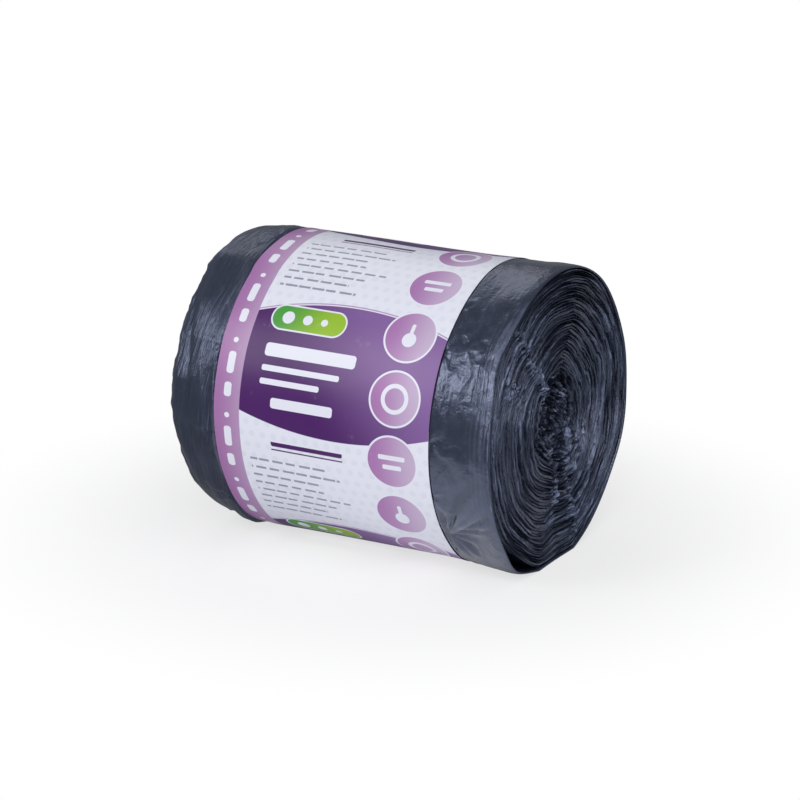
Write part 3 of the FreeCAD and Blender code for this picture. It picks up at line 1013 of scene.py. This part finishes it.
def draw_green_bar(graph, stretch, look, colour):
    """A green bar with three pale discs."""
    bar = stretch.box(16.0, 44.0, 40.0, 48.6, 4.2)
    tone = graph.blend(graph.step(stretch.across + stretch.along * 0.5, 40.0, 62.0), look.leaf, look.lime)
    colour = graph.blend(stretch.inside(bar - 0.6), colour, look.ground)
    colour = graph.blend(stretch.inside(bar), colour, tone)
    discs = graph.lowest(stretch.disc(22.0, 44.3, 2.3),
                         graph.lowest(stretch.disc(29.5, 44.3, 1.8), stretch.disc(36.0, 44.3, 1.3)))
    return graph.blend(stretch.inside(discs), colour, look.ground)


def draw_headings(graph, stretch, look, colour):
    """Pale rounded bars where headings would be, and a dark pair on the pale ground."""
    pale = graph.lowest(stretch.box(17.0, 52.0, 54.0, 58.6, 1.2), stretch.box(17.0, 47.0, 61.6, 63.6, 0.7))
    pale = graph.lowest(pale, stretch.box(17.0, 40.0, 66.2, 68.2, 0.7))
    pale = graph.lowest(pale, stretch.box(22.0, 46.0, 72.4, 76.0, 1.0))
    colour = graph.blend(stretch.inside(pale), colour, look.ground)
    dark = graph.lowest(stretch.box(22.0, 50.0, -1.6, 1.6, 0.8), stretch.box(22.0, 50.0, 2.6, 3.1, 0.2))
    return graph.blend(stretch.inside(dark), colour, look.deep)


def draw_stripe(graph, sheet, look, colour):
    """The mauve stripe along the far edge, with a white dot and two bars in turn."""
    mark = 1.0 - graph.step(sheet.across, 9.85, 9.95)
    shade = graph.blend(graph.step(sheet.across, 0.0, 14.0) * 0.25, look.stripe, look.ground)
    colour = graph.blend(mark, colour, shade)
    chain = sheet.repeated(0.0, 26.0)
    signs = graph.lowest(chain.disc(5.0, 3.0, 0.95), chain.box(3.6, 6.4, 7.0, 14.5, 1.1))
    signs = graph.lowest(signs, chain.box(3.6, 6.4, 17.5, 22.5, 1.1))
    return graph.blend(chain.inside(signs), colour, look.ground)


# Studio


def make_stage(roll):
    """A pale floor, soft lamps and the camera at the photograph's angle."""
    bpy.ops.object.select_all(action="DESELECT")
    bpy.ops.mesh.primitive_plane_add(size=0.36, location=(0, 0, 0))
    floor = bpy.context.object
    floor.name = "floor"
    floor.data.materials.append(floor_material())
    make_world()
    for name, azimuth, elevation, distance, width, height, power in LAMPS:
        make_lamp(roll, name, azimuth, elevation, distance, width, height, power)
    make_camera(roll)


# A white glowing disc on the floor that the film mirrors, seen only in reflections: middle, inner and outer
# radius
GLOW_DISC_PLACE = (34 * MM, -97 * MM, 0.0)
GLOW_DISC_INNER, GLOW_DISC_OUTER = 65 * MM, 78 * MM


def floor_material():
    """Pale floor that keeps the roll's shadow and goes to plain white away from it; in reflections it glows
    instead of being lit: white in a disc in front of the roll, dim elsewhere and brighter past the near end.
    """
    graph = Graph("pale_floor", Base_Color=(0.9, 0.9, 0.92, 1.0), Roughness=0.9)
    place = graph.node("ShaderNodeTexCoord", output=3)
    away = graph.node("ShaderNodeVectorMath", {"operation": "LENGTH"}, {0: place}, output=1)
    seen = graph.node("ShaderNodeLightPath", output=0)
    mirrored = graph.node("ShaderNodeLightPath", output=3)
    off_glow_disc = graph.node("ShaderNodeVectorMath", {"operation": "DISTANCE"}, {0: place, 1: GLOW_DISC_PLACE}, output=1)
    white = graph.node("ShaderNodeEmission", None, {"Color": (1, 1, 1, 1), "Strength": 1.0})
    across, _, _ = graph.split(place)
    dim = graph.node("ShaderNodeEmission", None, {"Color": (0.9, 0.93, 1, 1), "Strength": 0.25})
    half = graph.node("ShaderNodeEmission", None, {"Color": (0.9, 0.93, 1, 1), "Strength": 0.5})
    dim = graph.node("ShaderNodeMixShader", None, {
        0: graph.step(across, 55 * MM, 85 * MM), 1: dim, 2: half})
    share = seen * (0.68 + 0.32 * graph.step(away, 0.07, 0.17))
    lit = Signal(graph, graph.shader.outputs[0])
    mixed = graph.node("ShaderNodeMixShader", None, {0: share, 1: lit, 2: white})
    # Painted reflection: what the film mirrors of the floor is a glow, not its lit shading
    glow_disc = graph.node("ShaderNodeMixShader", None, {
        0: graph.step(off_glow_disc, GLOW_DISC_INNER, GLOW_DISC_OUTER), 1: white, 2: dim})
    surface = graph.node("ShaderNodeMixShader", None, {0: mirrored, 1: mixed, 2: glow_disc})
    graph.feed(graph.tree.nodes["Material Output"].inputs["Surface"], surface)
    return graph.material


# Soft lamps: name, azimuth, elevation, distance, width, height, power
LAMPS = (
    ("front_left_box", -36, 31, 1.1, 0.42, 0.66, 3.9),
    ("top_box", 60, 70, 1.3, 0.9, 0.9, 2.0),
    ("back_left_box", -140, 44, 1.3, 0.6, 0.6, 1.25),
    ("front_right_box", 28, 36, 1.3, 0.6, 0.6, 5.2),
    ("low_box", 30, 3, 1.3, 0.7, 0.3, 2.3),
    ("right_box", 82, 16, 1.3, 0.3, 0.5, 2.8),
)


def direction(azimuth, elevation):
    """From the roll towards a lamp or camera: azimuth 0 is the front, 90 the near end."""
    a, e = math.radians(azimuth), math.radians(elevation)
    return Vector((math.sin(a) * math.cos(e), -math.cos(a) * math.cos(e), math.sin(e)))


def make_lamp(roll, name, azimuth, elevation, distance, width, height, power):
    back = direction(azimuth, elevation)
    bpy.ops.object.light_add(type="AREA", location=Vector((0, 0, roll.axis_height)) + back * distance)
    lamp = bpy.context.object
    lamp.name = name
    lamp.data.shape = "RECTANGLE"
    lamp.data.size = width
    lamp.data.size_y = height
    lamp.data.energy = power
    lamp.rotation_mode = "QUATERNION"
    lamp.rotation_quaternion = (-back).to_track_quat("-Z", "Y")


def make_world():
    """Grey surroundings to light and mirror in the film; the camera itself sees white."""
    world = bpy.data.worlds.new("studio")
    bpy.context.scene.world = world
    world.use_nodes = True
    tree = world.node_tree
    surround = tree.nodes["Background"]
    surround.inputs["Color"].default_value = (0.9, 0.93, 1.0, 1.0)
    surround.inputs["Strength"].default_value = 0.25
    backdrop = tree.nodes.new("ShaderNodeBackground")
    backdrop.inputs["Color"].default_value = (1, 1, 1, 1)
    rays = tree.nodes.new("ShaderNodeLightPath")
    pick = tree.nodes.new("ShaderNodeMixShader")
    tree.links.new(rays.outputs["Is Camera Ray"], pick.inputs[0])
    tree.links.new(surround.outputs[0], pick.inputs[1])
    tree.links.new(backdrop.outputs[0], pick.inputs[2])
    tree.links.new(pick.outputs[0], tree.nodes["World Output"].inputs["Surface"])


# The camera, from the roll's proportions in the photograph
CAMERA_AZIMUTH = 29.01
CAMERA_ELEVATION = 17.76
CAMERA_DISTANCE = 1.4084
CAMERA_LENS = 182.9
CAMERA_RIGHT = 1.0 * MM
CAMERA_UP = -2.5 * MM


def make_camera(roll):
    back = direction(CAMERA_AZIMUTH, CAMERA_ELEVATION)
    turn = (-back).to_track_quat("-Z", "Y")
    right, up = turn @ Vector((1, 0, 0)), turn @ Vector((0, 1, 0))
    middle = Vector((0, 0, roll.axis_height))
    place = middle + back * CAMERA_DISTANCE + right * CAMERA_RIGHT + up * CAMERA_UP
    bpy.ops.object.camera_add(location=place)
    camera = bpy.context.object
    camera.name = "camera"
    camera.rotation_mode = "QUATERNION"
    camera.rotation_quaternion = turn
    camera.data.lens = CAMERA_LENS
    camera.data.sensor_width = 36
    camera.data.clip_start = 0.05
    bpy.context.scene.camera = camera


class ROLL_OT_outer_film(bpy.types.Operator):
    """Makes the crinkled film of the outermost turn"""
    bl_idname = "bin_roll.outer_film"
    bl_label = "Outer film"

    def execute(self, context):
        make_film(context.scene.roll_sizes, context.scene.film_look)
        return {"FINISHED"}


class ROLL_OT_end_turns(bpy.types.Operator):
    """Makes the wound turns that show at both ends"""
    bl_idname = "bin_roll.end_turns"
    bl_label = "Turns at the ends"

    def execute(self, context):
        roll, look = context.scene.roll_sizes, context.scene.film_look
        near = roll.radius - roll.rim_drop - roll.film_wall - 0.2 * MM
        far = roll.radius - roll.shoulder_drop - 1.7 * MM
        make_end_turns(roll, look, "near_end_turns", 1, near, 0.0)
        make_end_turns(roll, look, "far_end_turns", -1, far, 4.0)
        return {"FINISHED"}


class ROLL_OT_label(bpy.types.Operator):
    """Makes the printed paper label"""
    bl_idname = "bin_roll.label"
    bl_label = "Paper label"

    def execute(self, context):
        make_label(context.scene.roll_sizes, context.scene.label_look)
        return {"FINISHED"}


class ROLL_OT_stage(bpy.types.Operator):
    """Makes the floor, the lamps and the camera"""
    bl_idname = "bin_roll.stage"
    bl_label = "Stage"

    def execute(self, context):
        make_stage(context.scene.roll_sizes)
        return {"FINISHED"}


class ROLL_PT_panel(bpy.types.Panel):
    """Lists the sizes, the finishes and the pieces"""
    bl_label = "Bin bag roll"
    bl_idname = "ROLL_PT_panel"
    bl_space_type = "VIEW_3D"
    bl_region_type = "UI"
    bl_category = "Bin bag roll"

    def draw(self, context):
        for group in (context.scene.roll_sizes, context.scene.film_look, context.scene.label_look):
            box = self.layout.box()
            for name in group.bl_rna.properties.keys():
                if name not in ("name", "rna_type"):
                    box.prop(group, name)
        for operator in OPERATORS:
            self.layout.operator(operator.bl_idname)


GROUPS = (("roll_sizes", RollSizes), ("film_look", FilmLook), ("label_look", LabelLook))
OPERATORS = (ROLL_OT_outer_film, ROLL_OT_end_turns, ROLL_OT_label, ROLL_OT_stage)


def register():
    for _, group in GROUPS:
        bpy.utils.register_class(group)
    for operator in OPERATORS + (ROLL_PT_panel,):
        bpy.utils.register_class(operator)
    for name, group in GROUPS:
        setattr(bpy.types.Scene, name, bpy.props.PointerProperty(type=group))


def unregister():
    for name, _ in GROUPS:
        delattr(bpy.types.Scene, name)
    for operator in (ROLL_PT_panel,) + OPERATORS:
        bpy.utils.unregister_class(operator)
    for _, group in GROUPS:
        bpy.utils.unregister_class(group)


def main():
    register()
    bpy.context.scene.view_settings.view_transform = "Standard"
    bpy.ops.bin_roll.outer_film()
    bpy.ops.bin_roll.end_turns()
    bpy.ops.bin_roll.label()
    bpy.ops.bin_roll.stage()


if __name__ == "__main__":
    main()
